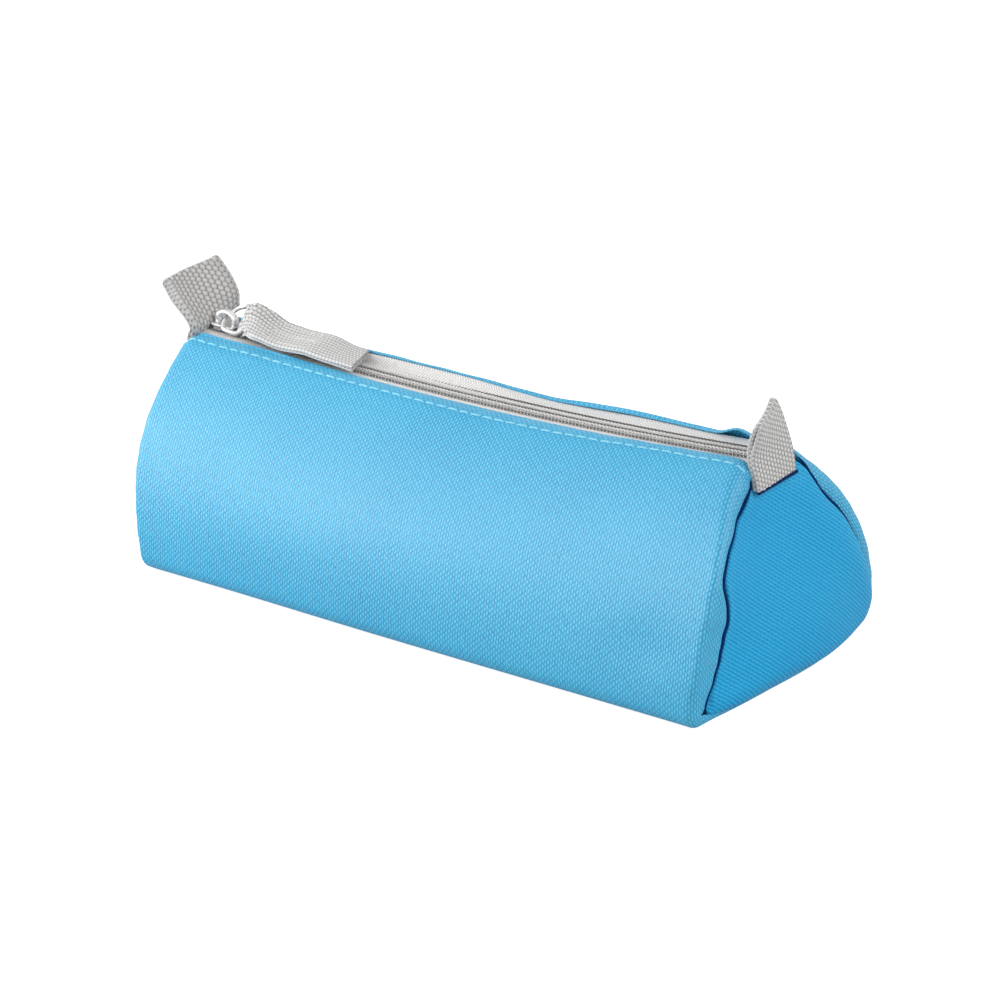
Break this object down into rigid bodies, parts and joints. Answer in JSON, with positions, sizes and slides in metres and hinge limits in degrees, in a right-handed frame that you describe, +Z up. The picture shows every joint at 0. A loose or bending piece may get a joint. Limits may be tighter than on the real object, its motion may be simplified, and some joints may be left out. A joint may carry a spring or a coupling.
{
  "type": "pencil case",
  "caption": "Soft zipped pencil case with a flat base, a sagging coil zip along the top, a webbing pull on a wire ring and a folded webbing loop at each end.",
  "frame": {"origin": "middle of the base, on the surface that the case rests on", "axes": "+X along the length, away from the end that the slider is closed at; -Y the front, the side seen in the picture; +Z up"},
  "size_m": [0.218, 0.097, 0.0797],
  "materials": {
    "case_fabric": "sky blue coated polyester plain weave, slight sheen",
    "end_fabric": "sky blue coated polyester plain weave, slight sheen",
    "binding": "dark blue non-woven seam tape, matt",
    "inner_thread": "blue polyester thread",
    "zip_tape": "pale grey woven polyester tape",
    "zip_coil": "pale grey satin nylon coil",
    "coil_cord": "pale grey filler cord",
    "zip_thread": "grey polyester thread",
    "case_thread": "light blue polyester thread",
    "slider_metal": "nickel-plated zinc alloy and steel wire, bright",
    "webbing": "pale grey ribbed polyester webbing",
    "webbing_thread": "pale grey polyester thread"
  },
  "bodies": {
    "case": {"main_panel": "case_fabric", "left_end_panel": "end_fabric", "right_end_panel": "end_fabric", "left_seam_binding": "binding", "right_seam_binding": "binding", "left_seam_stitches": "inner_thread", "right_seam_stitches": "inner_thread", "front_zip_tape": "zip_tape", "rear_zip_tape": "zip_tape", "front_zip_coil": "zip_coil", "rear_zip_coil": "zip_coil", "front_coil_cord": "coil_cord", "rear_coil_cord": "coil_cord", "front_coil_stitching": "zip_thread", "rear_coil_stitching": "zip_thread", "front_topstitch": "case_thread", "rear_topstitch": "case_thread"},
    "slider": {"slider_body": "slider_metal"},
    "ring": {"pull_ring": "slider_metal"},
    "pull": {"pull_tab": "webbing", "pull_tab_stitches": "webbing_thread"},
    "left_loop": {"left_end_loop": "webbing"},
    "right_loop": {"right_end_loop": "webbing"}
  },
  "joints": [
    {"name": "slider_travel", "type": "hinge", "parent": "case", "child": "slider", "pos_m": [-0.006, 0, 1.48591], "axis": [0, -1, 0], "range_deg": [0, 7.57], "deforming": ["front_zip_coil", "rear_zip_coil"]},
    {"name": "ring_swing", "type": "hinge", "parent": "slider", "child": "ring", "pos_m": [-0.09985, 0, 0.067], "axis": [0, -1, 0], "range_deg": [0, 95]},
    {"name": "pull_swing", "type": "hinge", "parent": "ring", "child": "pull", "pos_m": [-0.09247, 0, 0.06754], "axis": [0, -1, 0], "range_deg": [0, 80]},
    {"name": "left_loop_flex", "type": "hinge", "parent": "case", "child": "left_loop", "pos_m": [-0.107, 0, 0.0667], "axis": [0, -1, 0], "range_deg": [-20, 45], "stiffness_Nm_per_rad": 0.004},
    {"name": "right_loop_flex", "type": "hinge", "parent": "case", "child": "right_loop", "pos_m": [0.095, 0, 0.0667], "axis": [0, 1, 0], "range_deg": [-8, 75], "stiffness_Nm_per_rad": 0.004}
  ],
  "couplings": [
    {"joint": "ring_swing", "follows": "slider_travel", "ratio": 12.55}
  ]
}
